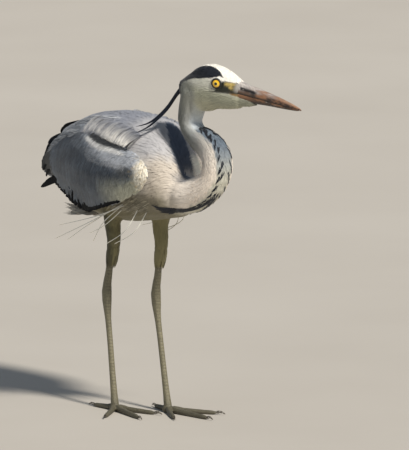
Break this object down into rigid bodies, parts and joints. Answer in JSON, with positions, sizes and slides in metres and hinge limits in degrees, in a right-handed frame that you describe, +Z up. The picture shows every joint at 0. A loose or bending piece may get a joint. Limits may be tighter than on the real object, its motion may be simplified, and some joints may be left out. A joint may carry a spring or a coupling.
{
  "type": "grey heron model",
  "caption": "Life-size still model of a grey heron standing in a wading pose, neck drawn into an S and head turned aside.",
  "frame": {"origin": "on the floor, under the middle of the bird's outline box", "axes": "+X forward along the trunk, +Y to the bird's left, +Z up"},
  "size_m": [0.5654, 0.1598, 0.478],
  "materials": {
    "plumage_white": "soft feathered surface, off-white",
    "plumage_neck": "soft feathered surface, pale grey with black streaks in front",
    "plumage_grey": "soft feathered surface, light grey",
    "plumage_wing": "close lying wing feathers, blue-grey",
    "plumage_dark": "stiff feathers, near black with a cold sheen",
    "bill": "satin horn, orange-brown streaked with grey and dark brown",
    "eye": "wet gloss, yellow iris with a round black pupil",
    "leg": "scaled skin, olive-brown",
    "claw": "satin horn, dark brown"
  },
  "bodies": {
    "root": {"trunk": "plumage_white", "head": "plumage_white", "bill_upper": "bill", "bill_lower": "bill", "eye_left": "eye", "eye_right": "eye", "neck_lower": "plumage_neck", "neck_middle": "plumage_neck", "neck_upper": "plumage_neck", "wing_right": "plumage_wing", "primaries_right": "plumage_dark", "wing_left": "plumage_wing", "primaries_left": "plumage_dark", "tail": "plumage_grey", "thigh_right": "plumage_white", "shin_right": "leg", "tarsus_right": "leg", "foot_right": "leg", "toe_right_middle": "leg", "claw_right_middle": "claw", "toe_right_inner": "leg", "claw_right_inner": "claw", "toe_right_outer": "leg", "claw_right_outer": "claw", "toe_right_hind": "leg", "claw_right_hind": "claw", "thigh_left": "plumage_white", "shin_left": "leg", "tarsus_left": "leg", "foot_left": "leg", "toe_left_middle": "leg", "claw_left_middle": "claw", "toe_left_inner": "leg", "claw_left_inner": "claw", "toe_left_outer": "leg", "claw_left_outer": "claw", "toe_left_hind": "leg", "claw_left_hind": "claw", "crest_plume_upper": "plumage_dark", "crest_plume_lower": "plumage_dark"}
  },
  "joints": []
}
